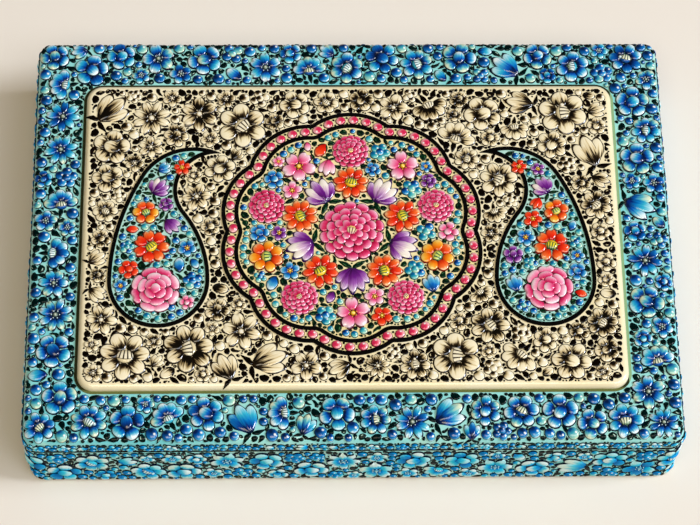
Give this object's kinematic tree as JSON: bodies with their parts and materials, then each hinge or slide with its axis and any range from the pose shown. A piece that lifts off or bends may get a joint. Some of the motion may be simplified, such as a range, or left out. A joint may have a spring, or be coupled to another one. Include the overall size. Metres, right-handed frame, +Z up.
{
  "type": "box",
  "caption": "Low rectangular papier-mache box with a lift-off lid, raised cream panel with medallion and botehs, and dense raised floral painting under glossy lacquer",
  "frame": {"origin": "centre of the underside of the base", "axes": "+X along the width towards the right end, -Y towards the front, +Z up"},
  "size_m": [0.254, 0.175, 0.0459],
  "materials": {
    "turquoise_lacquer": "pale turquoise paint on paper pulp board under clear glossy lacquer",
    "cream_lacquer": "cream paint on paper pulp board under clear glossy lacquer",
    "pale_yellow_lacquer": "pale yellow raised paint under clear glossy lacquer",
    "pink_enamel": "pink raised paint under clear glossy lacquer",
    "black_outline": "black raised paint line under clear glossy lacquer",
    "olive_line": "dark olive raised paint line under clear glossy lacquer",
    "collar_paint": "black satin paint on thin pasteboard",
    "lining_cloth": "deep blue short-napped cloth",
    "blue_enamel": "raised flowers and berries shaded from dark blue to white under glossy lacquer",
    "cream_enamel": "raised cream flowers shaded with black-brown under glossy lacquer",
    "bright_enamel": "raised flowers in pink, orange, red, violet and blue under glossy lacquer",
    "leaf_paint": "near-black green brush strokes under glossy lacquer"
  },
  "bodies": {
    "base": {"base_floor": "turquoise_lacquer", "base_wall_front": "turquoise_lacquer", "base_wall_back": "turquoise_lacquer", "base_wall_left": "turquoise_lacquer", "base_wall_right": "turquoise_lacquer", "collar_front": "collar_paint", "collar_back": "collar_paint", "collar_left": "collar_paint", "collar_right": "collar_paint", "base_lining": "lining_cloth"},
    "lid": {"lid_board": "turquoise_lacquer", "lid_rim_front": "turquoise_lacquer", "lid_rim_back": "turquoise_lacquer", "lid_rim_left": "turquoise_lacquer", "lid_rim_right": "turquoise_lacquer", "lid_lining": "lining_cloth", "lid_panel": "cream_lacquer", "panel_edge_line": "olive_line", "medallion_ground": "pale_yellow_lacquer", "medallion_outline_inner": "black_outline", "medallion_outline_outer": "black_outline", "medallion_beads": "pink_enamel", "boteh_ground_left": "turquoise_lacquer", "boteh_ground_right": "turquoise_lacquer", "boteh_outline_left": "black_outline", "boteh_outline_right": "black_outline"}
  },
  "joints": [
    {"name": "lid_lift", "type": "slide", "parent": "base", "child": "lid", "axis": [0, 0, 1], "range_m": [0, 0.06]}
  ]
}
